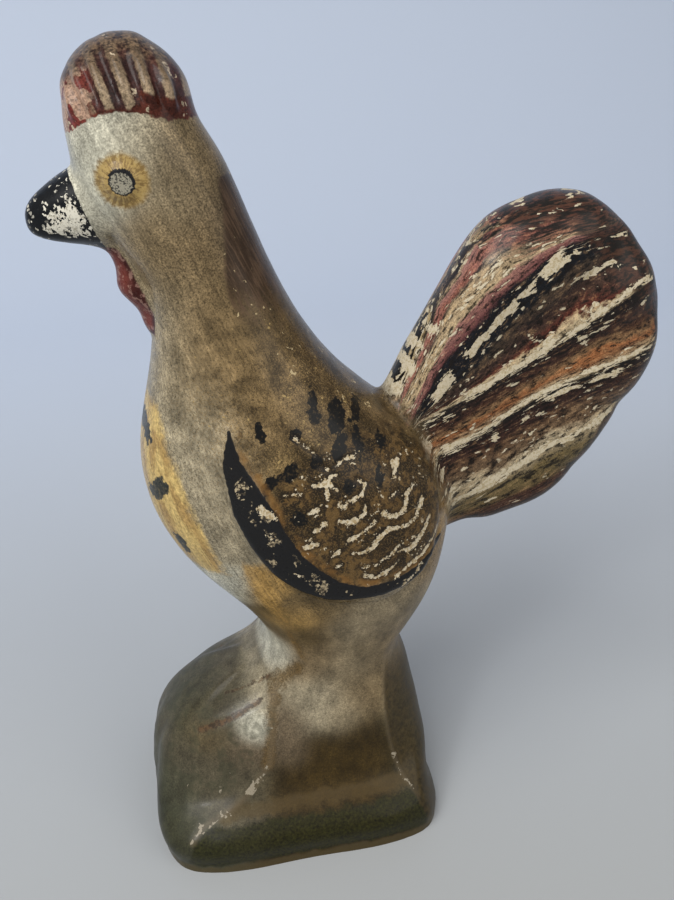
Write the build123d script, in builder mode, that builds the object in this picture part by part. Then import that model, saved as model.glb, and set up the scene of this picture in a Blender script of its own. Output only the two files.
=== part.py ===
from build123d import *
from collections import namedtuple
import math
import os

# A hollow-cast chalkware rooster on a square foot: two plaster halves, the slip that joins them and the
# plug in the foot. Millimetres. The figure stands on the XY plane, faces -X and is parted on the XZ plane.

# Casting
WALL = 6.0
FOOT_OPENING = 3.0
SEAM_THICKNESS = 0.6
PLUG_DEPTH = 9.0

# Rings of the trunk from the foot up: each lies its rise above the one before, and has one squareness in
# front and one behind
Ring = namedtuple("Ring", "rise front back width square_front square_back")
FOOT = Ring(rise=0.0, front=-30.4, back=31.0, width=57.0, square_front=5.0, square_back=6.0)
EDGE = Ring(rise=5.0, front=-32.2, back=31.4, width=54.4, square_front=5.0, square_back=6.0)
PLINTH = Ring(rise=4.0, front=-31.8, back=30.0, width=51.6, square_front=4.0, square_back=5.0)
COVE = Ring(rise=4.0, front=-31.2, back=30.4, width=43.0, square_front=3.0, square_back=4.0)
INSTEP = Ring(rise=5.5, front=-30.6, back=30.8, width=37.6, square_front=2.7, square_back=3.4)
SHIN = Ring(rise=6.5, front=-27.8, back=30.2, width=34.8, square_front=2.6, square_back=3.0)
ANKLE = Ring(rise=6.0, front=-21.4, back=28.8, width=32.4, square_front=2.6, square_back=2.8)
LEG = Ring(rise=6.0, front=-9.8, back=27.2, width=29.8, square_front=2.6, square_back=2.8)
WAIST = Ring(rise=6.0, front=-4.8, back=25.2, width=31.0, square_front=2.6, square_back=2.8)
THIGH = Ring(rise=7.0, front=-6.0, back=28.2, width=35.0, square_front=2.4, square_back=2.6)
BELLY = Ring(rise=8.0, front=-11.4, back=32.4, width=40.0, square_front=2.3, square_back=2.4)
FLANK = Ring(rise=10.0, front=-19.6, back=35.0, width=44.0, square_front=2.3, square_back=2.3)
BODY = Ring(rise=12.0, front=-26.0, back=35.0, width=45.0, square_front=2.3, square_back=2.3)
BREAST = Ring(rise=12.0, front=-27.2, back=28.2, width=42.0, square_front=2.3, square_back=2.3)
SHOULDER = Ring(rise=12.0, front=-24.8, back=14.8, width=35.0, square_front=2.2, square_back=2.2)
NECK = Ring(rise=11.0, front=-22.7, back=5.8, width=28.0, square_front=2.2, square_back=2.2)
THROAT = Ring(rise=10.0, front=-23.4, back=0.5, width=24.6, square_front=2.2, square_back=2.2)
JAW = Ring(rise=8.0, front=-27.6, back=-2.8, width=23.6, square_front=2.2, square_back=2.2)
CHEEK = Ring(rise=8.0, front=-32.0, back=-6.0, width=23.6, square_front=2.3, square_back=2.3)
BROW = Ring(rise=8.0, front=-33.4, back=-9.8, width=22.4, square_front=2.4, square_back=2.4)
COMB = Ring(rise=4.0, front=-33.6, back=-12.0, width=20.6, square_front=2.4, square_back=2.4)
TRUNK = (
    FOOT, EDGE, PLINTH, COVE, INSTEP, SHIN, ANKLE, LEG, WAIST, THIGH, BELLY,
    FLANK, BODY, BREAST, SHOULDER, NECK, THROAT, JAW, CHEEK, BROW, COMB,
)
HOLLOW = TRUNK[: TRUNK.index(NECK) + 1]
RING_POINTS = 16

# The comb's crown is a dome above the top ring, with ribs down its sides
CROWN_HEIGHT = 11.6
CROWN_RINGS = 5
RIB_COUNT = 5
RIB_WIDTH = 2.3
RIB_RELIEF = 0.7
RIB_LEAN = 32.0
RIB_FOOT = 1.5

# Tail feathers from the saddle round to the rump: where each starts and ends in profile, and its largest
# radius
Feather = namedtuple("Feather", "root_x root_z tip_x tip_z radius")
FEATHERS = (
    Feather(root_x=19.8, root_z=83.4, tip_x=50.2, tip_z=133.0, radius=8.3),
    Feather(root_x=22.0, root_z=90.0, tip_x=62.2, tip_z=134.8, radius=8.2),
    Feather(root_x=27.0, root_z=91.0, tip_x=75.2, tip_z=122.8, radius=8.4),
    Feather(root_x=26.0, root_z=83.0, tip_x=78.2, tip_z=109.6, radius=7.8),
    Feather(root_x=28.0, root_z=72.5, tip_x=70.4, tip_z=93.8, radius=6.4),
    Feather(root_x=27.0, root_z=67.0, tip_x=62.0, tip_z=80.4, radius=5.4),
)
FEATHER_ROOT_SHARE = 0.7
FEATHER_WIDEST_AT = 0.62
FAN_THICKNESS = 12.4
FAN_EDGE = 3.6
FAN_SHARE = 0.97
FAN_BULGE = 2.0

# Beak: sections from inside the face out to the tip, each its step beyond the one before and its level above
# the cheek's ring
BEAK_SUNK = 4.0
Section = namedtuple("Section", "step level height width")
BEAK = (
    Section(step=0.0, level=-2.8, height=14.5, width=14.0),
    Section(step=6.0, level=-2.9, height=12.5, width=11.0),
    Section(step=4.5, level=-4.0, height=8.8, width=7.4),
    Section(step=2.3, level=-4.5, height=5.4, width=4.6),
    Section(step=0.8, level=-4.6, height=2.4, width=2.0),
)

# Wattle: a spindle down the throat from the jaw to the neck
WATTLE_RADIUS = 2.9
WATTLE_ROOT_SHARE = 0.9
WATTLE_WIDEST_AT = 0.4
WATTLE_TOP_BACK = 0.8
WATTLE_FOOT_BACK = 3.2

# Eye: a flat boss on the cheek
EYE_RADIUS = 2.6
EYE_RELIEF = 0.8
EYE_FORWARD = 6.2
EYE_UP = 2.6

# Wing: how far each ring swells under it, and its outline in profile
WING_SWELL = (
    (WAIST, 0.0), (THIGH, 1.0), (BELLY, 1.4), (FLANK, 1.4), (BODY, 1.1), (BREAST, 0.3), (SHOULDER, -1.2),
)
WING_OUTLINE = (
    (-11.5, 101.0), (-12.0, 91.0), (-7.8, 79.0), (0.5, 69.0), (10.0, 64.8),
    (20.0, 65.0), (27.0, 71.0), (30.0, 82.0), (20.0, 100.0), (2.0, 107.0),
)

# Toes: ridges on the front of the foot, fanned out from the leg
TOE_SPREAD = 24.0
TOE_WIDTH = 6.5
TOE_RELIEF = 0.9


def height_of(ring):
    """Height of a ring above the floor."""
    return sum(each.rise for each in TRUNK[: TRUNK.index(ring) + 1])


def middle_of(ring):
    """Middle of a ring, from front to back."""
    return (ring.front + ring.back) / 2


def ring_points(ring, grow):
    """Points of a ring's rounded outline, moved outwards by grow."""
    along = (ring.back - ring.front) / 2 + grow
    across = ring.width / 2 + grow
    points = []
    for step in range(RING_POINTS):
        turn = 2 * math.pi * step / RING_POINTS
        c = math.cos(turn)
        s = math.sin(turn)
        power = 2 / (ring.square_front if c > 0 else ring.square_back)
        x = middle_of(ring) - along * math.copysign(abs(c) ** power, c)
        y = across * math.copysign(abs(s) ** power, s)
        points.append((x, y))
    return points


def crown_rings():
    """Rings of the dome, closer towards its top, each with its height above the top ring as its rise."""
    half = (COMB.back - COMB.front) / 2
    for step in range(1, CROWN_RINGS + 1):
        angle = math.pi / 2 * math.sin(math.pi / 2 * step / (CROWN_RINGS + 1.5))
        yield COMB._replace(
            rise=CROWN_HEIGHT * math.sin(angle),
            front=middle_of(COMB) - half * math.cos(angle),
            back=middle_of(COMB) + half * math.cos(angle),
            width=COMB.width * math.cos(angle),
        )


def trunk_levels(stations):
    """Height, ring and growth of each pair of a ring and its growth."""
    return [(height_of(ring), ring, grow) for ring, grow in stations]


def crown_levels(grow):
    """Height, ring and growth of each ring of the dome, which grows evenly all round."""
    levels = []
    for ring in crown_rings():
        lift = ring.rise * (CROWN_HEIGHT + grow) / CROWN_HEIGHT
        levels.append((height_of(COMB) + lift, ring, grow * ring.width / COMB.width))
    return levels


def ring_solid(levels):
    """Smooth solid through rings, each at its height and moved outwards by its growth."""
    with BuildPart() as solid:
        for height, ring, grow in levels:
            with BuildSketch(Plane.XY.offset(height)):
                with BuildLine():
                    Spline(*ring_points(ring, grow), periodic=True)
                make_face()
        loft()
    return solid.part


def spindle(start, end, radius, root_share, widest_at):
    """Round spindle in the parting plane: flat at its start, widest part of the way, rounded at its end."""
    along = Vector(end[0] - start[0], 0, end[1] - start[1])
    length = along.length
    plane = Plane(origin=(start[0], 0, start[1]), x_dir=along, z_dir=(0, -1, 0))
    with BuildPart() as solid:
        with BuildSketch(plane):
            with BuildLine():
                edge = Spline(
                    (0, radius * root_share),
                    (length * widest_at, radius),
                    (length, 0),
                    tangents=((1, 0.1), (0, -1)),
                )
                Polyline(edge @ 1, (0, 0), edge @ 0)
            make_face()
        revolve(axis=Axis(plane.origin, plane.x_dir))
    return solid.part


# Trunk, and its hollow, which runs on below the foot to open it
trunk = ring_solid(trunk_levels([(ring, 0.0) for ring in TRUNK]) + crown_levels(0.0))
opening = (-FOOT_OPENING, FOOT, -WALL)
cavity = ring_solid([opening] + trunk_levels([(ring, -WALL) for ring in HOLLOW]))

# Tail feathers, and the fan that fills the tail between them
feathers = [
    spindle((f.root_x, f.root_z), (f.tip_x, f.tip_z), f.radius, FEATHER_ROOT_SHARE, FEATHER_WIDEST_AT)
    for f in FEATHERS
]
fan_edge = []
for feather, neighbour in zip(FEATHERS, FEATHERS[1:] + FEATHERS[-1:]):
    root = Vector(feather.root_x, feather.root_z)
    tip = Vector(feather.tip_x, feather.tip_z)
    between = (tip + Vector(neighbour.tip_x, neighbour.tip_z)) / 2
    fan_edge.append(root + (tip - root) * FAN_SHARE)
    if neighbour != feather:
        fan_edge.append(between + (between - root).normalized() * FAN_BULGE)
fan_roots = [(f.root_x, f.root_z) for f in (FEATHERS[-1], FEATHERS[0])]
with BuildPart() as fan:
    with BuildSketch(Plane.XZ):
        with BuildLine():
            Polyline(*fan_edge, *fan_roots, close=True)
        make_face()
    extrude(amount=FAN_THICKNESS / 2, both=True)
    chamfer(fan.faces().filter_by(Axis.Y).edges(), length=FAN_EDGE)

# Beak
with BuildPart() as beak:
    beak_x = CHEEK.front + BEAK_SUNK
    for section in BEAK:
        beak_x -= section.step
        centre = (beak_x, 0, height_of(CHEEK) + section.level)
        with BuildSketch(Plane(origin=centre, x_dir=(0, -1, 0), z_dir=(-1, 0, 0))):
            Ellipse(section.width / 2, section.height / 2)
    loft()

# Wattle
wattle = spindle(
    (JAW.front + WATTLE_TOP_BACK, height_of(JAW)),
    (NECK.front + WATTLE_FOOT_BACK, height_of(NECK)),
    WATTLE_RADIUS,
    WATTLE_ROOT_SHARE,
    WATTLE_WIDEST_AT,
)

# Left wing
with BuildPart() as wing:
    with BuildSketch(Plane.XZ):
        with BuildLine():
            Spline(*WING_OUTLINE, periodic=True)
        make_face()
    extrude(amount=BODY.width)
    add(ring_solid(trunk_levels(WING_SWELL)), mode=Mode.INTERSECT)

# Left eye
with BuildPart() as eye:
    with BuildSketch(Plane.XZ):
        with Locations((middle_of(CHEEK) - EYE_FORWARD, height_of(CHEEK) + EYE_UP)):
            Circle(EYE_RADIUS)
    extrude(amount=CHEEK.width)
    eye_rings = (JAW, CHEEK, BROW, COMB)
    add(ring_solid(trunk_levels([(ring, EYE_RELIEF) for ring in eye_rings])), mode=Mode.INTERSECT)

# Comb ribs
rib_pitch = (COMB.back - COMB.front) / (RIB_COUNT + 0.5)
with BuildPart() as ribs:
    with BuildSketch(Plane.XZ):
        for rib in range(RIB_COUNT):
            foot_x = COMB.front + rib_pitch * (rib + 0.75)
            with Locations((foot_x, height_of(COMB) + RIB_FOOT)):
                Rectangle(RIB_WIDTH, 2 * CROWN_HEIGHT, rotation=RIB_LEAN, align=(Align.CENTER, Align.MIN))
    extrude(amount=COMB.width, both=True)
    rib_levels = trunk_levels([(BROW, RIB_RELIEF), (COMB, RIB_RELIEF)]) + crown_levels(RIB_RELIEF)
    add(ring_solid(rib_levels), mode=Mode.INTERSECT)

# Toes
toe_rings = TRUNK[TRUNK.index(EDGE) : TRUNK.index(WAIST) + 1]
with BuildPart() as toes:
    with BuildSketch(Plane.XY.offset(height_of(PLINTH))):
        for angle in (-TOE_SPREAD, 0.0, TOE_SPREAD):
            with Locations((LEG.front, 0)):
                Rectangle(-FOOT.front, TOE_WIDTH, rotation=angle, align=(Align.MAX, Align.CENTER))
    extrude(amount=height_of(LEG) - height_of(PLINTH))
    add(ring_solid(trunk_levels([(ring, TOE_RELIEF) for ring in toe_rings])), mode=Mode.INTERSECT)

# Whole casting, but with the left wing and eye alone
with BuildPart() as casting:
    add(trunk)
    for feather in feathers:
        add(feather)
    add(fan.part)
    add(beak.part)
    add(wattle)
    add(wing.part)
    add(eye.part)
    add(ribs.part)
    add(toes.part)
    add(cavity, mode=Mode.SUBTRACT)

os.makedirs("parts", exist_ok=True)

# Left half
with BuildPart() as left_shell:
    add(casting.part)
    split(bisect_by=Plane.XZ.offset(SEAM_THICKNESS / 2), keep=Keep.TOP)
left_shell.part.label = "left_shell"
export_step(left_shell.part, "parts/left_shell.step")

# Right half, the left one's mirror image
with BuildPart() as right_shell:
    mirror(left_shell.part, about=Plane.XZ)
right_shell.part.label = "right_shell"
export_step(right_shell.part, "parts/right_shell.step")

# Slip in the seam
with BuildPart() as seam_slip:
    add(casting.part)
    split(bisect_by=Plane.XZ.offset(SEAM_THICKNESS / 2), keep=Keep.BOTTOM)
    split(bisect_by=Plane.XZ.offset(-SEAM_THICKNESS / 2), keep=Keep.TOP)
seam_slip.part.label = "seam_slip"
export_step(seam_slip.part, "parts/seam_slip.step")

# Plug in the foot
with BuildPart() as base_plug:
    add(cavity)
    split(bisect_by=Plane.XY, keep=Keep.TOP)
    split(bisect_by=Plane.XY.offset(PLUG_DEPTH), keep=Keep.BOTTOM)
base_plug.part.label = "base_plug"
export_step(base_plug.part, "parts/base_plug.step")
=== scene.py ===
import math

import bmesh
import bpy
import numpy as np
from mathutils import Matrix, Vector
from mathutils.bvhtree import BVHTree


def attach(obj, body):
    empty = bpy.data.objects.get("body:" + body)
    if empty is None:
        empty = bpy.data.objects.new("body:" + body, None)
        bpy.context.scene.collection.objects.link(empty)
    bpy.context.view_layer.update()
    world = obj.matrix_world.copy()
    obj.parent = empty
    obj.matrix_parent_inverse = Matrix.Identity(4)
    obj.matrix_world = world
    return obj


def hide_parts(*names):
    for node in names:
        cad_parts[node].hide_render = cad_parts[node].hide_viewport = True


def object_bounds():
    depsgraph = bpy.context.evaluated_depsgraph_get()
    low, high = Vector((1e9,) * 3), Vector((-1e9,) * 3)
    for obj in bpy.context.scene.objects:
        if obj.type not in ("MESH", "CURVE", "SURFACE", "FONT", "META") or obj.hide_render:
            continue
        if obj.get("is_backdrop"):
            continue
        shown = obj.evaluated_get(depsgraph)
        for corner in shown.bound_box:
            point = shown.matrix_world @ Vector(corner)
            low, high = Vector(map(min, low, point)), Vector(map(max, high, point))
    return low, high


# sizes are in mm and are turned into metres by MM
MM = 0.001
VOXEL = 0.52
SEAM = 0.3
EYE = (-24.9, 143.8)
FLOOR_GAP = 0.0001
# how far the foot and the hollow's mouth run on below the floor before they are cut off flat
FOOT_RUN_ON = 3.0
MOUTH_RUN_ON = 6.0
# faces of the skin below this height are its underside
UNDERSIDE = 0.6
# in metres: points this near to a plane lie in it, and points this near to each other are one
IN_PLANE = 2e-5
WELD = 2e-6
MIRROR_WELD = 5e-6
# share of the way to its neighbours' mean that a point goes in one round of smoothing
EASE = 0.5
# places of the rim that the tail's edge is drawn out at, and how they are evened out
BINS = 90
EVENING = [0.1, 0.2, 0.4, 0.2, 0.1]
# half width and height of the slabs that cut the casting apart, beyond its own size
SLAB_REACH = 200
SLAB_TOP = 300

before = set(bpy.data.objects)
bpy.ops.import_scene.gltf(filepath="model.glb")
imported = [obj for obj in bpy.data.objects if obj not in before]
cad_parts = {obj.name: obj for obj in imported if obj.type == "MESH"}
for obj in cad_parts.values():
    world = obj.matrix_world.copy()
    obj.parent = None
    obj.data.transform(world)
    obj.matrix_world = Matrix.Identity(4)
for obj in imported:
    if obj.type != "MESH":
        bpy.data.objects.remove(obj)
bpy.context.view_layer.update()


# meshes
def new_object(name, data):
    obj = bpy.data.objects.new(name, data)
    bpy.context.scene.collection.objects.link(obj)
    return obj


def mesh_of(name, bm):
    """A mesh from faces made by hand, which are freed."""
    mesh = bpy.data.meshes.new(name)
    bm.to_mesh(mesh)
    bm.free()
    return mesh


def joined(name, nodes):
    """One new mesh object from copies of CAD nodes."""
    bm = bmesh.new()
    for node in nodes:
        bm.from_mesh(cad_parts[node].data)
    bmesh.ops.remove_doubles(bm, verts=bm.verts, dist=WELD)
    return new_object(name, mesh_of(name, bm))


def applied(obj):
    """The mesh that an object's modifiers give."""
    bpy.context.view_layer.update()
    graph = bpy.context.evaluated_depsgraph_get()
    return bpy.data.meshes.new_from_object(obj.evaluated_get(graph))


def rows_of(items, name, width, kind=float):
    """One property of all vertices or edges, a row for each."""
    values = np.zeros(len(items) * width, dtype=kind)
    items.foreach_get(name, values)
    return values.reshape(-1, width)


def points_of(mesh):
    return rows_of(mesh.vertices, "co", 3) / MM


def normals_of(mesh):
    return rows_of(mesh.vertices, "normal", 3)


def put_points(mesh, co):
    mesh.vertices.foreach_set("co", (co * MM).astype(np.float32).ravel())
    mesh.update()


def relax(co, edges, rounds, weight):
    """Moves each point towards its neighbours' mean, by its own weight."""
    a, b = edges.T
    count = np.maximum(np.bincount(edges.ravel(), minlength=len(co)), 1)
    for _ in range(rounds):
        for axis in range(3):
            v = co[:, axis]
            total = np.bincount(a, v[b], len(co)) + np.bincount(b, v[a], len(co))
            co[:, axis] = v + weight * (total / count - v)
    return co


# values at points
def step(low, high, v):
    t = np.clip((v - low) / (high - low), 0, 1)
    return t * t * (3 - 2 * t)


def bell(v, width):
    return np.exp(-(v / width) ** 2)


def along(points, p):
    """Distance from a line of points, share of its length at the nearest place, and side of it."""
    points = np.asarray(points, float)
    starts, ends = points[:-1], points[1:]
    lengths = np.linalg.norm(ends - starts, axis=1)
    before = np.concatenate([[0], np.cumsum(lengths)[:-1]])
    best = np.full(len(p), 1e9)
    share = np.zeros(len(p))
    side = np.ones(len(p))
    for start, end, length, run in zip(starts, ends, lengths, before):
        d = (end - start) / length
        rel = p - start
        t = np.clip(rel @ d, 0, length)
        gap = np.linalg.norm(rel - t[:, None] * d, axis=1)
        near = gap < best
        best = np.where(near, gap, best)
        share = np.where(near, (run + t) / lengths.sum(), share)
        if points.shape[1] == 2:
            turn = d[0] * rel[:, 1] - d[1] * rel[:, 0]
            side = np.where(near, np.sign(turn), side)
    return best, share, side


def nearest_on(line, p):
    """The nearest place to each point on a line of points."""
    line = np.asarray(line, float)
    lengths = np.linalg.norm(np.diff(line, axis=0), axis=1)
    marks = np.concatenate([[0], np.cumsum(lengths)]) / lengths.sum()
    share = along(line, p)[1]
    return np.column_stack([np.interp(share, marks, line[:, axis]) for axis in range(2)])


def rounded(points, cuts=3):
    """A line with its corners cut off again and again, which makes it a curve."""
    line = np.asarray(points, float)
    for _ in range(cuts):
        near, far = 0.75 * line[:-1] + 0.25 * line[1:], 0.25 * line[:-1] + 0.75 * line[1:]
        inner = np.stack([near, far], axis=1).reshape(-1, 2)
        line = np.vstack([line[:1], inner, line[-1:]])
    return line


def left_of(line, p):
    """Distance to the left of a line, looking along it, negative to its right."""
    gap, _, side = along(line, p)
    return gap * side


def inside(polygon, p):
    """Depth inside a closed outline, negative outside."""
    gap = along(polygon + polygon[:1], p)[0]
    odd = np.zeros(len(p), bool)
    for (x0, z0), (x1, z1) in zip(polygon, polygon[1:] + polygon[:1]):
        crosses = (z0 > p[:, 1]) != (z1 > p[:, 1])
        at = x0 + (p[:, 1] - z0) * (x1 - x0) / (z1 - z0 if z1 != z0 else 1e-9)
        odd ^= crosses & (p[:, 0] < at)
    return np.where(odd, gap, -gap)


def lens(spots, p):
    """Depth inside the nearest of some tilted ellipses, negative outside."""
    best = np.full(len(p), -9.0)
    for (cx, cz), wide, tall, tilt in spots:
        c, s = math.cos(math.radians(tilt)), math.sin(math.radians(tilt))
        dx, dz = p[:, 0] - cx, p[:, 1] - cz
        r = np.hypot((c * dx + s * dz) / wide, (-s * dx + c * dz) / tall)
        best = np.maximum(best, (1 - r) * min(wide, tall))
    return best


def brushed(strokes, p):
    """Depth inside the nearest of some brush strokes, negative outside."""
    best = np.full(len(p), -9.0)
    for half_width, points in strokes:
        best = np.maximum(best, half_width - along(points, p)[0])
    return best


def waves(p, scale, seed, octaves=3):
    """Smooth seeded noise, about -1 to 1."""
    rng = np.random.default_rng(seed)
    out = np.zeros(len(p))
    size = 1.0
    for octave in range(octaves):
        for _ in range(5):
            d = rng.normal(size=3)
            d /= np.linalg.norm(d)
            turn = 2 * math.pi / scale * 2 ** octave * rng.uniform(0.7, 1.3)
            out += size * np.sin(p @ d * turn + rng.uniform(0, 2 * math.pi))
        size *= 0.5
    return out / 4.0


# lines of the figure in profile, (x, z)
COMB_LOW = [
    (-36, 149), (-32, 150.9), (-29.8, 152.4), (-26.7, 153.6), (-23.7, 153.8), (-20.3, 153.5),
    (-16.9, 152.5), (-8, 152.3),
]
# grooves between the ribs of the comb, by their x at the height RIB_LEVEL
RIB_LEVEL = 158
GROOVES = [-34.6, -31.4, -28.3, -25.1, -21.4, -18.1, -15, -11.8]
BEAK_EDGE = [(-34.6, 147), (-33, 142.4), (-32, 139.5), (-29.2, 132), (-28, 129)]
BEAK_FLAKE = [
    (-38.8, 134.9), (-36.2, 138.2), (-34.3, 142), (-33.5, 140), (-31.2, 137), (-31.8, 134.2),
    (-35, 134.8),
]
WATTLE_EDGE = [
    (-28.8, 132.6), (-27, 131.2), (-25.5, 129), (-24.2, 125.2), (-22.6, 122), (-21.2, 118.6),
    (-21.2, 115),
]
NECK_EDGE = [
    (-9, 152), (-9.8, 142.1), (-9.2, 138.2), (-9.5, 134), (-9.9, 129), (-9.6, 124), (-7, 117),
    (-2, 110), (4, 104),
]
BREAST_EDGE = [
    (-24.9, 109), (-22.9, 103), (-20.6, 93), (-18.7, 86.3), (-16.5, 80.9), (-13.5, 73), (-11, 68.5),
]
# spots, blotches and chips of paint: middle, half width, half height and tilt in degrees
SPOTS = [((-25.6, 98.9), 0.8, 3.0, 6), ((-24.3, 88.2), 1.3, 3.0, -24), ((-20.9, 77.0), 0.8, 2.6, 24)]
ORANGE_LINE = [(-8, 73), (-5.5, 65), (-2, 56), (1, 46), (0.8, 42)]
LEG_LINE = [(0.8, 43), (-4.5, 37), (-6, 28.5), (-7.2, 20.5)]
CRESCENT_OUT = [
    (-11.4, 102), (-12.8, 95.5), (-11.5, 86.6), (-8.8, 80), (-5.2, 73.8), (0, 69.6), (5, 67),
    (9.5, 66.3), (16.3, 66), (22, 67), (27, 69.2), (30.6, 73),
]
CRESCENT_IN = [
    (-11, 102), (-9.6, 96.6), (-4.8, 88.3), (-2.4, 83), (0.6, 77.8), (4.3, 74), (7.8, 70.9),
    (12.8, 68.9), (18, 69), (23.5, 70.4), (28.2, 73), (30.6, 73.4),
]
BLOTCHES = [
    ((-5.8, 101.2), 1.0, 1.9, 10), ((4.4, 102.7), 1.1, 2.2, 20), ((8.7, 101.9), 1.8, 2.6, -10),
    ((8.6, 97), 1.3, 3.0, -12), ((12.3, 97.2), 0.9, 3.4, 8), ((-1, 93.9), 1.4, 2.0, -30),
    ((-4.8, 91.9), 1.2, 1.8, -40), ((0.4, 85.4), 1.7, 1.5, 0), ((4, 95.2), 1.2, 1.3, 40),
    ((9.8, 90), 1.4, 1.3, 0), ((17.3, 95.6), 0.9, 1.6, 10), ((4.4, 105.4), 0.9, 1.6, 0),
    ((15.9, 90.4), 0.9, 1.8, 10), ((0.7, 100.2), 1.3, 1.3, 60), ((13, 101.4), 1.0, 1.8, -20),
]
# pale strokes on the wing: half width, then the points
WING_STROKES = [
    (0.65, [(3, 91), (5.5, 91.2), (6.8, 92.6), (7.5, 92.4)]), (0.6, [(5.5, 91.4), (7.4, 89.9)]),
    (0.6, [(5.5, 91), (5.6, 88.8)]),
    (0.6, [(11.4, 91.2), (13, 90), (12.3, 88.6), (9.3, 87.2), (8.3, 86.3), (7.5, 87.4)]),
    (0.45, [(-2.5, 90), (0.8, 89.8)]), (0.6, [(1.8, 86.2), (4.3, 87.4)]),
    (0.8, [(3.2, 82.7), (4.8, 83.9)]), (0.5, [(10, 76.9), (12.3, 76.6)]),
    (0.65, [(7.6, 84.1), (9.5, 83.5), (11.4, 83.8), (12.8, 84.8), (12.7, 86.4)]),
    (0.6, [(9.4, 79.8), (13, 81.5), (14.7, 82.8)]),
    (0.7, [(16.4, 84), (17.8, 82.7), (19.9, 82.7), (21.1, 84), (21.6, 86), (23.2, 87)]),
    (0.65, [(12.6, 76.7), (14.6, 77.7), (15.7, 79.6), (17, 80.4), (22, 80), (23.7, 81.8), (25, 84.2)]),
    (0.5, [(15.7, 74), (17.8, 75), (19.5, 76.3)]),
    (0.6, [(19.9, 75), (22.5, 75), (24.8, 77), (26.7, 80)]), (0.6, [(19.1, 92), (20.3, 92), (19, 90)]),
    (0.5, [(12.4, 71.5), (15, 70.4), (17.9, 71.6), (20, 73.2)]),
    (0.55, [(19, 69.3), (21.5, 71), (25, 72.4), (27.4, 74.6), (29, 76.5)]),
    (0.5, [(20.8, 67), (23.2, 68.8), (25, 70.7)]), (0.5, [(12.3, 73.4), (15, 73.4)]),
    (0.45, [(6, 76.8), (7.8, 78)]), (0.5, [(0.9, 79.6), (3.4, 80)]), (0.45, [(6.8, 74.4), (8, 75)]),
    (0.5, [(7.6, 94), (9.7, 95), (11.3, 95)]), (0.45, [(5, 94.3), (6.3, 93.4)]),
    (0.5, [(18, 86.4), (19.5, 87.2)]), (0.4, [(0.3, 99.8), (4, 96.5)]), (0.5, [(17, 68), (18.7, 69.4)]),
    (0.6, [(-7, 87.4), (-6.5, 88.2), (-4.4, 86)]), (0.5, [(-6.2, 82.8), (-4.7, 82)]),
    (0.5, [(-1.6, 74.3), (0.5, 73.3)]),
]
# painted lines of the tail, from its root outwards, the front one first
TAIL_LINES = [
    [(23, 100.5), (31.5, 118), (36, 126.5), (40.5, 132), (47, 135), (54.5, 136.5), (62, 138)],
    [(24.5, 100), (31.5, 116.5), (38.5, 128), (43, 131), (56.5, 134), (66, 135)],
    [(25, 99), (33.5, 116.5), (42.5, 126.5), (55, 131.5), (68, 133)],
    [(26, 96), (29.5, 105), (40, 120), (49, 127), (55, 130), (69, 131.5)],
    [(27.5, 96), (35.5, 107.5), (45, 119.5), (53.5, 127.5), (59, 129.5), (70, 130)],
    [(28, 95.5), (38, 102.5), (51.5, 116), (57.5, 122), (64.5, 125), (74, 126.5)],
    [(28.5, 95), (41.5, 102), (55.5, 110.5), (69.5, 120.5), (78, 124)],
    [(28, 91.5), (41.5, 99.5), (59, 110), (72.5, 117), (80, 119)],
    [(28.5, 88.5), (48, 98), (64.5, 107.5), (82, 111.5)],
    [(29, 85.5), (40.5, 91), (51, 98), (65, 104.5), (80, 108.5)],
    [(29, 84.5), (45.5, 92), (58, 99.5), (79, 105.5)],
    [(29, 82.5), (43, 87), (62, 96), (77, 102)],
    [(29.5, 76), (36, 75), (44, 78.5), (57, 86.5), (74, 94.5)],
    [(31, 69), (36, 69.5), (47.5, 74), (68, 82.5)],
]
# stretches of those lines that are worn to the plaster: line, start and end as shares, half width
WORN_RUNS = [
    (4, 0.08, 0.17, 1.0), (4, 0.28, 0.48, 0.5), (4, 0.46, 0.58, 0.3), (4, 0.61, 0.69, 1.0),
    (6, 0.16, 0.5, 0.55), (6, 0.46, 0.9, 0.25), (7, 0.6, 0.74, 0.3), (9, 0.1, 0.55, 0.3),
    (9, 0.5, 0.94, 0.15), (10, 0.53, 0.66, 0.35), (10, 0.68, 0.8, 0.4), (12, 0.14, 0.55, 0.6),
    (12, 0.5, 0.92, 0.3), (5, 0.72, 0.84, 0.5),
]
TAIL_CHIPS = [
    ((29, 89.7), 1.2, 1.4, 20), ((32.3, 83.2), 1.3, 0.9, 0), ((44.2, 89.4), 1.0, 0.8, 0),
    ((25.5, 89.2), 0.9, 1.0, 0), ((59.2, 110.1), 1.4, 0.5, -45), ((64.3, 113.4), 1.0, 0.6, 20),
    ((25.4, 106.2), 0.9, 1.6, 28), ((27.9, 109.6), 0.5, 1.2, 40), ((23, 100.6), 1.4, 0.9, 30),
    ((30.2, 113.0), 0.6, 0.5, 30), ((53.5, 94.2), 0.8, 0.5, 20),
]
TAIL_EDGE = [
    (23.7, 102.7), (31, 115.6), (40, 131), (46, 134.8), (53, 137), (59.5, 137), (65, 134.2),
    (70, 129.6), (74.5, 124), (78, 117), (79.2, 110.5), (79, 104), (77, 98), (72.8, 91.6), (66.4, 80),
    (59.6, 72.4), (53.6, 69.8), (45, 67.6), (36, 64.6),
]
TAIL_ROOT = [(20, 101.5), (24.5, 97), (28, 92), (29.4, 86), (31, 79), (33.4, 72), (36, 66)]

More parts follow.
